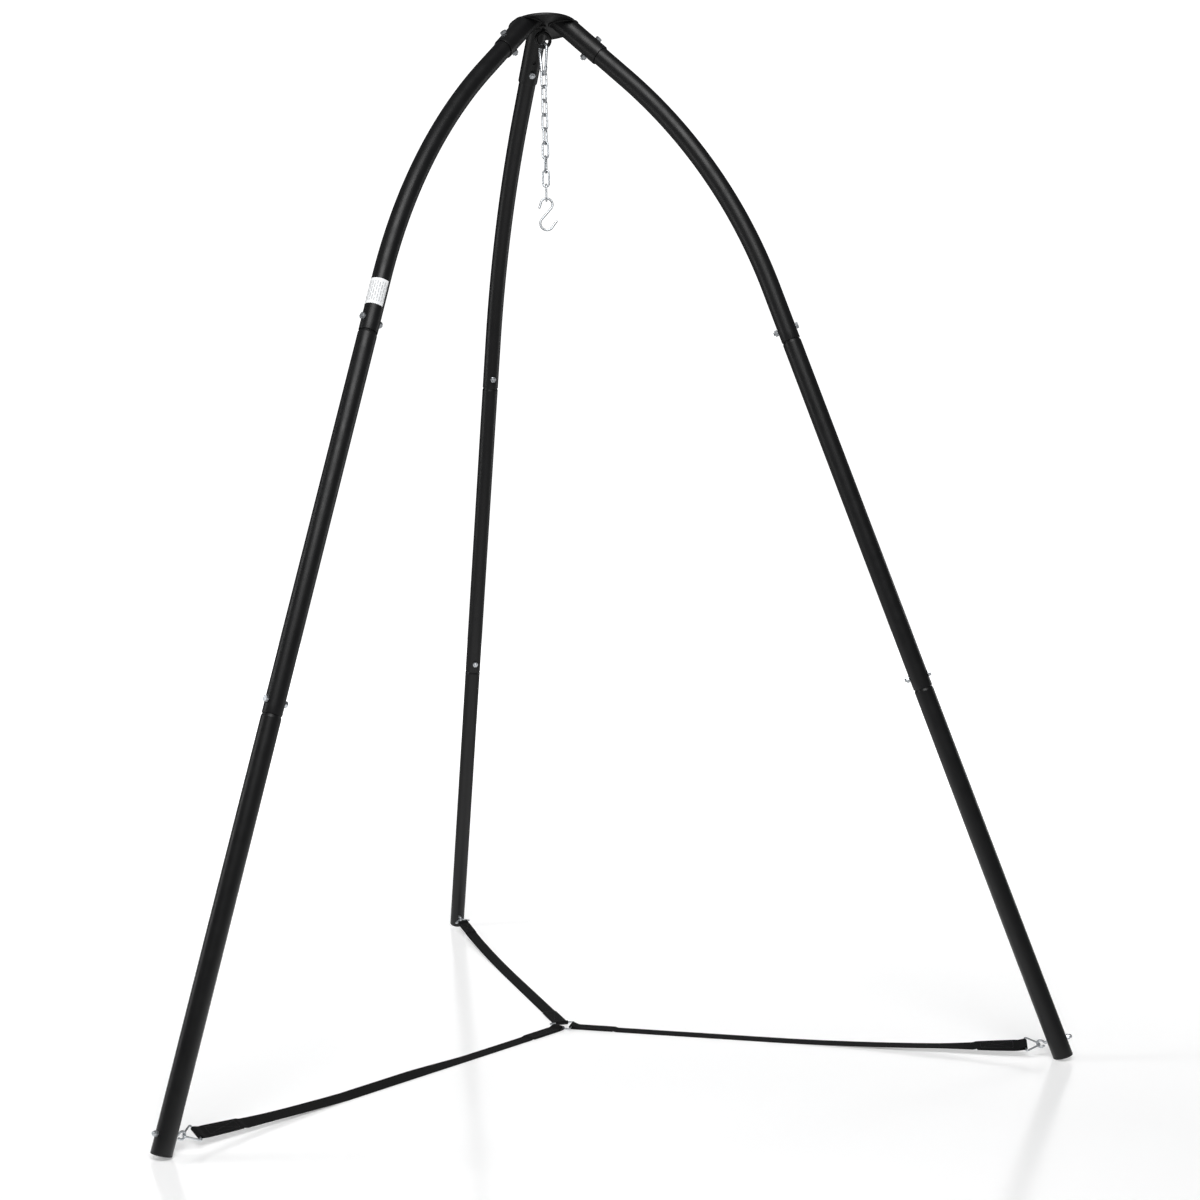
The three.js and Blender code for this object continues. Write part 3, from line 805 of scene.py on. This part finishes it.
def makeHubPlate():
    edge, lip = hubSizes["plate"], hubSizes["lip"]
    inner = edge - 3 * mm
    profile = [(0, 0), (inner - 3 * mm, 0), (inner, -lip), (edge, -lip), (edge, 1.5 * mm), (inner, 4 * mm),
               (inner * 0.8, 5.1 * mm), (inner * 0.6, 5.8 * mm), (inner * 0.3, 6.3 * mm),
               (0, hubSizes["dome"])]
    disc = lathe(rounded(profile, 2.2 * mm, steps=5), 112)
    addPiece("hubPlate", moved(disc, onAxis(plateHeight)), "painted_steel", replaces=["hub"], sharp=40)


def makeSocket(side):
    seam, outside, inside = legLine["socketSeam"], hubSizes["socket"], hubSizes["bore"]
    sides, into = 64, 1 * mm

    def untilPlate(radius):
        # the tube's wall carried up to the plate
        ring = ringOnLeg(radius, seam, sides)
        _, angle = legAt(seam)
        reach = (plateHeight + into - ring[:, 2]) / math.cos(angle)
        return ring + reach[:, None] * np.array([-math.sin(angle), 0, math.cos(angle)])

    stations = [8 * mm, 20 * mm, 36 * mm, 49 * mm, 65 * mm]
    mouth = rounded([(inside, stations[0]), (inside, 0), (outside, 0), (outside, stations[0])],
                    0.8 * mm, steps=4)
    rising = mouth[:-1] + [(outside, s) for s in stations]
    falling = [(inside, s) for s in stations[:0:-1]]
    rings = [ringOnLeg(r, seam + s, sides) for r, s in rising]
    rings += [untilPlate(outside), untilPlate(inside)]
    rings += [ringOnLeg(r, seam + s, sides) for r, s in falling]
    bore = fastener["radius"] + gap
    holes = [crossHole(boltAt["hub"], bore), crossHole(seam + hubSizes["spareHole"], bore, fromZ=0)]
    turn = sideMatrix(side)
    addPiece(f"hubSocket{capital(side)}", moved(skin(rings, loop=True), turn), "painted_steel",
             replaces=["hub"], sharp=40, drills=[moved(h, turn) for h in holes])

    # weld bead round the socket where it meets the plate
    foot = untilPlate(outside + 0.4 * mm)
    bead, count = [], 150
    around = np.linspace(0, 1, count, endpoint=False)
    closedFoot = np.vstack([foot, foot[:1]])
    known = np.arange(sides + 1)
    line = np.column_stack([np.interp(around * sides, known, closedFoot[:, i]) for i in range(3)])
    line[:, 2] = plateHeight - 0.3 * mm
    ahead = np.roll(line, -1, axis=0) - np.roll(line, 1, axis=0)
    level, rise = np.cos(turnSteps(10))[:, None], np.sin(turnSteps(10))[:, None]
    for i, (point, way) in enumerate(zip(line, ahead)):
        sideways = np.array([way[1], -way[0], 0]) / np.linalg.norm(way[:2])
        size = hubSizes["weld"] * (1 + 0.10 * math.sin(2 * math.pi * i / 3.75) + 0.06 * math.sin(i * 0.37))
        bead.append(point + size * (level * sideways + rise * np.array([0, 0, 1])))
    addPiece(f"hubWeld{capital(side)}", moved(skin(bead, loop=True), turn), "painted_steel", sharp=60)


def makeHubEye():
    radius, wireRadius, drop = hubSizes["eyeRadius"], hubSizes["eyeWire"], hubSizes["eyeDrop"]
    ring = wire(arc((0, -drop), radius, 0, 2 * math.pi)[:-1], wireRadius, 1.2 * mm, 24, closed=True)
    top = radius - drop
    stem = lathe(rounded([(3.2 * mm, top - 3 * mm), (5.0 * mm, top + 1.5 * mm), (4.9 * mm, top + 6 * mm),
                          (5.4 * mm, -4.5 * mm), (9.5 * mm, -gap), (0, -gap)], 3 * mm, steps=6), 40)
    addPiece("hubEye", moved(merged([ring, stem]), onAxis(plateHeight)), "painted_steel",
             replaces=["hub_eye"], sharp=50)


# Snap hook, chain and S-hook.

snapHook = {"wire": 3.5 * mm, "height": 69 * mm, "topRadius": 14.5 * mm, "bottomRadius": 8 * mm,
            "gateLength": 37 * mm, "gateRadius": 2.9 * mm, "turn": 105.9, "pin": 1.0 * mm}
chain = {"count": 9, "wire": 2.2 * mm, "endRadius": 6.7 * mm, "length": 36.9 * mm, "twist": 7.1}
sHook = {"wire": 2.5 * mm, "upperRadius": 13.5 * mm, "lowerRadius": 15 * mm, "span": 43 * mm}


def makeSnapHook(eyeBar):
    size, wireRadius = snapHook, snapHook["wire"]
    top = hubSizes["eyeWire"] + play + wireRadius
    flare = math.asin((size["topRadius"] - size["bottomRadius"])
                      / (size["height"] - size["topRadius"] - size["bottomRadius"]))
    upper, lower = top - size["topRadius"], top - size["height"] + size["bottomRadius"]
    outward, upward = Vector((math.cos(flare), -math.sin(flare))), Vector((math.sin(flare), math.cos(flare)))
    hinge = Vector((0, lower)) + outward * size["bottomRadius"] + upward * 6 * mm
    nose = hinge + upward * (size["gateLength"] + 2 * gap)
    path = [tuple(hinge - upward * 3 * mm), tuple(hinge - upward * 6 * mm)]
    path += arc((0, lower), size["bottomRadius"], -flare, -math.pi + flare)
    path += arc((0, upper), size["topRadius"], math.pi + flare, -flare)
    path += [tuple(nose)]
    body = wire(path, wireRadius, 0.9 * mm, 24)
    place = onAxis(eyeBar, size["turn"] + 180)
    atHinge = Matrix.Translation((hinge.x, 0, hinge.y)) @ Matrix.Rotation(flare, 4, "Y")
    tongue = moved(bevelledBox((3.6 * mm, 2.0 * mm, 6 * mm), 0.5 * mm),
                   atHinge @ Matrix.Translation((0, 0, -2.4 * mm)))
    catch = moved(bevelledBox((3.2 * mm, 1.5 * mm, 4.4 * mm), 0.4 * mm),
                  atHinge @ Matrix.Translation((0, 0, size["gateLength"] - 0.6 * mm)))
    addPiece("snapHookBody", moved(merged([body, tongue, catch]), place), "zinc", "snap_hook",
             replaces=["snap_hook_body"], sharp=40)
    head = 0.55 * mm
    reach = size["gateRadius"] + 0.25 * mm
    wide, pin = 1.7 * mm, size["pin"]
    rivet = lathe(rounded([(0, -reach - head), (wide, -reach - head), (wide, -reach), (pin, -reach),
                           (pin, reach), (wide, reach), (wide, reach + head), (0, reach + head)],
                          0.4 * mm), 28)
    addPiece("snapHookRivet", moved(rivet, place @ atHinge @ Matrix.Rotation(math.pi / 2, 4, "X")), "zinc",
             "snap_hook", sharp=40)
    long, thick = size["gateLength"], size["gateRadius"]
    rod = lathe(rounded([(0, -1.8 * mm), (thick, -1.8 * mm), (thick, long), (0, long)], 1.0 * mm, steps=5),
                32)
    fork = moved(bevelledBox((9 * mm, 2.7 * mm, 7 * mm), 0.3 * mm), Matrix.Translation((0, 0, -0.3 * mm)))
    slit = moved(bevelledBox((9 * mm, 2.1 * mm, 7 * mm), 0.3 * mm), Matrix.Translation((0, 0, long)))
    eyelet = moved(lathe([(pin + 0.1 * mm, -5 * mm), (pin + 0.1 * mm, 5 * mm)], 24),
                   Matrix.Rotation(math.pi / 2, 4, "X"))
    addPiece("snapHookGate", moved(rod, place @ atHinge), "zinc", "snap_gate", replaces=["snap_hook_gate"],
             sharp=40, drills=[moved(tool, place @ atHinge) for tool in (fork, slit, eyelet)])
    return eyeBar + top - size["height"]


def makeChain(hookBar):
    size, wireRadius = chain, chain["wire"]
    top = 2 * wireRadius + play
    upper, lower = top - size["endRadius"], top - size["length"] + size["endRadius"]
    path = arc((0, upper), size["endRadius"], 0, math.pi)
    path += arc((0, lower), size["endRadius"], math.pi, 2 * math.pi)
    # the butt weld sits on one long side
    link = wire(path, wireRadius, 0.9 * mm, 18, closed=True, swell=(0.35, 0.13, 1.5 * mm))
    azimuth, bar, above = snapHook["turn"] + 90, hookBar, snapHook["wire"]
    for number in range(1, size["count"] + 1):
        height = bar + above - wireRadius
        addPiece(f"chainLink{number}", moved(link, onAxis(height, azimuth)), "zinc", f"link_{number}",
                 replaces=[f"chain_link_{number}"], sharp=60)
        bar = height + top - size["length"]
        above = wireRadius
        azimuth += 90 + size["twist"]
    return bar, azimuth


def makeSHook(bar, azimuth):
    size, wireRadius = sHook, sHook["wire"]
    top = chain["wire"] + play + wireRadius
    upper = top - size["upperRadius"]
    lower = upper - size["span"]
    slant = math.asin((size["upperRadius"] + size["lowerRadius"]) / size["span"])
    path = [(-size["upperRadius"] - 3 * mm, upper - 8 * mm)]
    path += arc((0, upper), size["upperRadius"], math.pi - 0.1, -slant)
    path += arc((0, lower), size["lowerRadius"], math.pi - slant, 2 * math.pi - 0.45)
    path += [(size["lowerRadius"] + 8 * mm, lower + 6 * mm)]
    part = moved(wire(path, wireRadius, 0.9 * mm, 22), onAxis(bar, azimuth))
    addPiece("sHook", part, "zinc", "s_hook", replaces=["s_hook"], sharp=60)


# Straps and rings.

webbing = {"width": 32 * mm, "layer": 2 * mm, "thickness": 1.7 * mm, "fold": 95 * mm, "liftShare": 0.45,
           "edge": 0.7 * mm, "taper": 0.14, "slip": 1.1 * mm, "stitch": 3.0 * mm, "thread": 0.33 * mm,
           "seamFrom": 24 * mm, "seamTo": 88 * mm, "seamMargin": 3.2 * mm,
           "endRoll": {"left": -24, "right": 22, "rear": -6},
           "longRoll": {"left": -10, "right": 0, "rear": 0}}
floorRing = {"wire": 2 * mm, "side": 62 * mm, "corner": 6 * mm}
footRing = {"wire": 1.75 * mm, "halfBar": 22.5 * mm, "length": 31 * mm, "apex": 5 * mm, "corner": 3 * mm}


def strapLine():
    # where the two bars and the lift of a strap are, in the leg's plane
    point, _ = legAt(footEye["above"])
    lean = legLine["lean"]
    distance = footEye["eyeDistance"]
    eye = Vector((point.x - math.cos(lean) * distance, point.z - math.sin(lean) * distance))
    eye.x -= footEye["eyeRadius"] - footEye["wire"] - footRing["wire"] - 2 * play
    half = math.atan(footRing["halfBar"] / footRing["length"])
    tip = footRing["length"] - footRing["apex"] / math.tan(half) * math.cos(half) / 2
    inner, outer = floorRing["side"] / 2 / math.sqrt(3), eye.x - tip
    innerHeight = floorRing["wire"] + gap + webbing["layer"]
    liftFrom = inner + (outer - inner) * webbing["liftShare"]
    slope = 2 * (eye.y - innerHeight) / (eye.x - liftFrom + tip)
    return {"inner": inner, "outer": outer, "innerHeight": innerHeight, "liftFrom": liftFrom, "slope": slope,
            "tip": tip, "eye": eye}


run = strapLine()


def underside(x):
    return run["slope"] / 2 / (run["outer"] - run["liftFrom"]) * max(x - run["liftFrom"], 0) ** 2


outerHeight = underside(run["outer"]) + footRing["wire"] + gap + webbing["layer"]


def ease(t):
    t = min(max(t, 0), 1)
    return t * t * (3 - 2 * t)


def strapPath():
    # middle of the webbing, from one turned-under end to the other, with the long layer on top
    half, layer, fold = webbing["layer"] / 2, webbing["layer"], webbing["fold"]
    inner, outer = run["inner"], run["outer"]
    innerTurn = floorRing["wire"] + gap + half
    outerTurn = footRing["wire"] + gap + half
    reach = 16 * mm         # over which the layers close up behind a bar

    def under(x):
        return underside(x) + half

    def over(x):
        doubled = layer * (1 - ease((x - inner - fold) / (9 * mm)))
        doubled += layer * ease((x - outer + fold + 9 * mm) / (9 * mm))
        lift = (run["innerHeight"] + innerTurn - 3 * half) * (1 - ease((x - inner) / reach))
        lift += (outerHeight + outerTurn - underside(outer) - 3 * half) * ease((x - outer + reach) / reach)
        return underside(x) + half + doubled + lift

    path = [(x, under(x)) for x in np.linspace(inner + fold, inner, 26)[:-1]]
    path += arc((inner, run["innerHeight"]), innerTurn, -math.pi / 2, -3 * math.pi / 2, 0.2)
    fine = list(np.linspace(inner, inner + reach, 8)[1:])
    longRun = list(np.arange(inner + reach + 4 * mm, outer - reach, 4 * mm))
    path += [(x, over(x)) for x in fine + longRun + list(np.linspace(outer - reach, outer, 8)[:-1])]
    path += arc((outer, outerHeight), outerTurn, math.pi / 2, -math.pi / 2, 0.2)
    path += [(x, under(x)) for x in np.linspace(outer, outer - fold, 26)[1:]]
    return np.array(path)


def strapBend(points, side):
    # rolls a strap's outer end about its own length
    start, lifted = run["outer"] - 190 * mm, run["inner"] + 260 * mm
    longRoll, endRoll = math.radians(webbing["longRoll"][side]), math.radians(webbing["endRoll"][side])
    result = np.array(points, float)
    for i, (x, y, z) in enumerate(result):
        angle = longRoll * ease((x - lifted) / (200 * mm))
        angle += (endRoll - longRoll) * ease((x - start) / (run["outer"] - start))
        axis = underside(min(x, run["outer"])) + webbing["layer"]
        # a rolled strap lies on its lower edge, not in the floor
        axis = max(axis, webbing["width"] / 2 * abs(math.sin(angle)) + webbing["layer"])
        z += max(axis - underside(min(x, run["outer"])) - webbing["layer"], 0)
        result[i] = (x, y * math.cos(angle) - (z - axis) * math.sin(angle),
                     axis + y * math.sin(angle) + (z - axis) * math.cos(angle))
    return result


def ribbonSection(width):
    # half the outline over the top and half below, with soft selvedges
    half, thick, edge = width / 2, webbing["thickness"] / 2, webbing["edge"]
    middle = np.linspace(-half + 2.5 * edge, half - 2.5 * edge, 9)
    selvedge = np.array([half - edge, half - edge * 0.3, half])
    across = np.concatenate([-selvedge[::-1], middle, selvedge])
    rise = np.concatenate([[0.0, 0.62, 0.9], np.full(9, 1.0), [0.9, 0.62, 0.0]]) * thick
    top = list(zip(across, rise))
    return np.array(top + [(a, -r) for a, r in top[-2:0:-1]])


def makeStrap(side):
    path = strapPath()
    ahead = np.gradient(path, axis=0)
    ahead /= np.linalg.norm(ahead, axis=1)[:, None]
    travelled = np.concatenate([[0], np.cumsum(np.linalg.norm(np.diff(path, axis=0), axis=1))])
    length = travelled[-1]
    rings, coords = [], []
    for (x, z), way, far in zip(path, ahead, travelled):
        nearBar = max(ease((x - run["outer"] + 22 * mm) / (22 * mm)),
                      0.6 * ease((run["inner"] + 14 * mm - x) / (14 * mm)))
        section = ribbonSection(webbing["width"] * (1 - webbing["taper"] * nearBar))
        # the turned-under ends lie a little out of line with the layer above
        fromEnd = min(far, length - far)
        slip = webbing["slip"] * (1 - ease((fromEnd - webbing["fold"] * 0.8) / (webbing["fold"] * 0.3)))
        if far > length / 2:
            slip = -slip
        across, out = section[:, 0] + slip, section[:, 1]
        ring = np.column_stack([x - way[1] * out, across, z + way[0] * out])
        rings.append(ring)
        coords.append(np.column_stack([np.full(len(section), far), section[:, 0], np.zeros(len(section))]))
    verts, faces = skin(rings)
    part = moved((strapBend(verts, side), faces), sideMatrix(side))
    strap = addPiece(f"strap{capital(side)}", part, "webbing", replaces=[f"strap_{side}"], sharp=50)
    place = strap.data.attributes.new("webPlace", "FLOAT_VECTOR", "POINT")
    place.data.foreach_set("vector", np.vstack(coords).ravel())

    seams = moved(stitchedEnds(side), sideMatrix(side))
    stitches = addPiece(f"stitching{capital(side)}", seams, "thread", sharp=60)
    print(f"strap {side}: cut length {length:.3f} m")


def stitchedEnds(side):
    # a boxed cross of thread through both layers at each end, seen on the top and underneath
    parts = []
    half = webbing["width"] / 2 * (1 - webbing["taper"]) - webbing["seamMargin"]
    for bar, way in ((run["inner"], 1), (run["outer"], -1)):
        near, far = bar + way * webbing["seamFrom"], bar + way * webbing["seamTo"]
        corners = [(near, -half), (far, -half), (far, half), (near, half)]
        seams = list(zip(corners, corners[1:] + corners[:1]))
        seams += [(corners[0], corners[2]), (corners[1], corners[3])]
        for (x0, y0), (x1, y1) in seams:
            start, line = Vector((x0, y0)), Vector((x1 - x0, y1 - y0))
            count = max(int(line.length / webbing["stitch"]), 1)
            for i in range(count):
                middle = start + line * (i + 0.5) / count
                for layer in (2 * webbing["layer"] - 0.10 * mm, 0.12 * mm):
                    parts.append(oneStitch(middle, line.normalized(), underside(middle.x) + layer))
    verts, faces = merged(parts)
    return strapBend(verts, side), faces


def oneStitch(middle, way, height):
    # a short thread that dips into the webbing at both ends
    half, radius = webbing["stitch"] * 0.42, webbing["thread"]
    slope = run["slope"] * max(middle.x - run["liftFrom"], 0) / (run["outer"] - run["liftFrom"])
    sideways = Vector((-way.y, way.x, 0))
    along = Vector((way.x, way.y, slope * way.x))
    inwards = 1 if height > underside(middle.x) + 1 * mm else -1
    rings = []
    for share in (-1.0, -0.8, -0.35, 0.35, 0.8, 1.0):
        dip = radius * 1.4 * abs(share) ** 3
        size = radius * (1 - 0.35 * abs(share) ** 4)
        centre = Vector((middle.x, middle.y, height - dip * inwards)) + along * half * share
        rings.append([tuple(centre + sideways * size * math.cos(a) + Vector((0, 0, 1)) * size * math.sin(a))
                      for a in np.arange(6) * math.pi / 3])
    return skin([np.array(r) for r in rings])


def roundedTriangle(corners, radii):
    points = []
    for i, corner in enumerate(corners):
        corner, last, following = Vector(corner), Vector(corners[i - 1]), Vector(corners[(i + 1) % 3])
        before, after = last - corner, following - corner
        tangent = radii[i] / math.tan(before.angle(after) / 2)
        start, end = corner + before.normalized() * tangent, corner + after.normalized() * tangent
        points += quadratic(start, corner, end, 12)
    return points


def makeRings():
    reach = 2 * run["inner"]
    corners = [(reach * math.cos(math.radians(a)), reach * math.sin(math.radians(a))) for a in (30, 150, 270)]
    # the weld is on a long side, clear of the corners
    ring = wire(roundedTriangle(corners, [floorRing["corner"]] * 3), floorRing["wire"], 0.9 * mm, 18,
                closed=True, swell=(0.155, 0.16, 1.4 * mm))
    flat = onAxis(run["innerHeight"]) @ Matrix.Rotation(-math.pi / 2, 4, "X")
    addPiece("floorRing", moved(ring, flat), "zinc", replaces=["centre_ring"], sharp=60)

    corners = [(0, -footRing["halfBar"]), (footRing["length"], 0), (0, footRing["halfBar"])]
    radii = [footRing["corner"], footRing["apex"], footRing["corner"]]
    slope = math.asin((run["eye"].y - outerHeight) / run["tip"])
    lay = (Matrix.Translation((run["outer"], 0, outerHeight)) @ Matrix.Rotation(-slope, 4, "Y")
           @ Matrix.Rotation(math.pi / 2, 4, "X"))
    for side in legLine["sides"]:
        ring = wire(roundedTriangle(corners, radii), footRing["wire"], 0.8 * mm, 16, closed=True,
                    swell=(0.30, 0.16, 1.3 * mm))
        verts, faces = moved(ring, lay)
        part = moved((strapBend(verts, side), faces), sideMatrix(side))
        addPiece(f"footRing{capital(side)}", part, "zinc", replaces=[f"triangle_ring_{side}"], sharp=60)


# Label.

def makeLabel():
    inner = tubeSizes["radius"] + 0.15 * mm
    outer = inner + label["thickness"]
    angles = np.radians(np.linspace(label["start"], label["start"] + label["wrap"], 90))
    heights = np.linspace(0, label["height"], 14)
    rings, coords = [], []
    for i, angle in enumerate(angles):
        # the two ends of the sheet stand off by a hair
        lift = 0.10 * mm * ease((abs(i - 44.5) - 40) / 4.5)
        column = [(outer + lift, z) for z in heights] + [(inner + lift, z) for z in heights[::-1]]
        rings.append(np.array([(r * math.cos(angle), r * math.sin(angle), z) for r, z in column]))
        coords.append([(outer * (angle - angles[0]), z - label["height"] / 2, 0) for _, z in column])
    turn = sideMatrix("left") @ alongLeg(legLine["upperSeam"] + label["above"])
    sheet = addPiece("tubeLabel", moved(skin(rings), turn), "paper", replaces=["label"], sharp=40)
    place = sheet.data.attributes.new("labelPlace", "FLOAT_VECTOR", "POINT")
    place.data.foreach_set("vector", np.array(coords).ravel())


# Assembly.

makeHubPlate()
makeHubEye()
for side in legLine["sides"]:
    makeSocket(side)
    makeTubes(side)
    for level in boltAt:
        makeBolt(level, hubSizes["socket"] if level == "hub" else tubeSizes["radius"], side)
    makeFootCap(side)
    makeEyeBolt(side)
    makeDomeNut(side)
print("legs and hub ready")

eyeBarHeight = plateHeight - hubSizes["eyeDrop"] - hubSizes["eyeRadius"]
hookBarHeight = makeSnapHook(eyeBarHeight)
lastBar, lastAzimuth = makeChain(hookBarHeight)
makeSHook(lastBar, lastAzimuth)
print("hook and chain ready")

makeRings()
for side in legLine["sides"]:
    makeStrap(side)
makeLabel()
print("straps, rings and label ready")
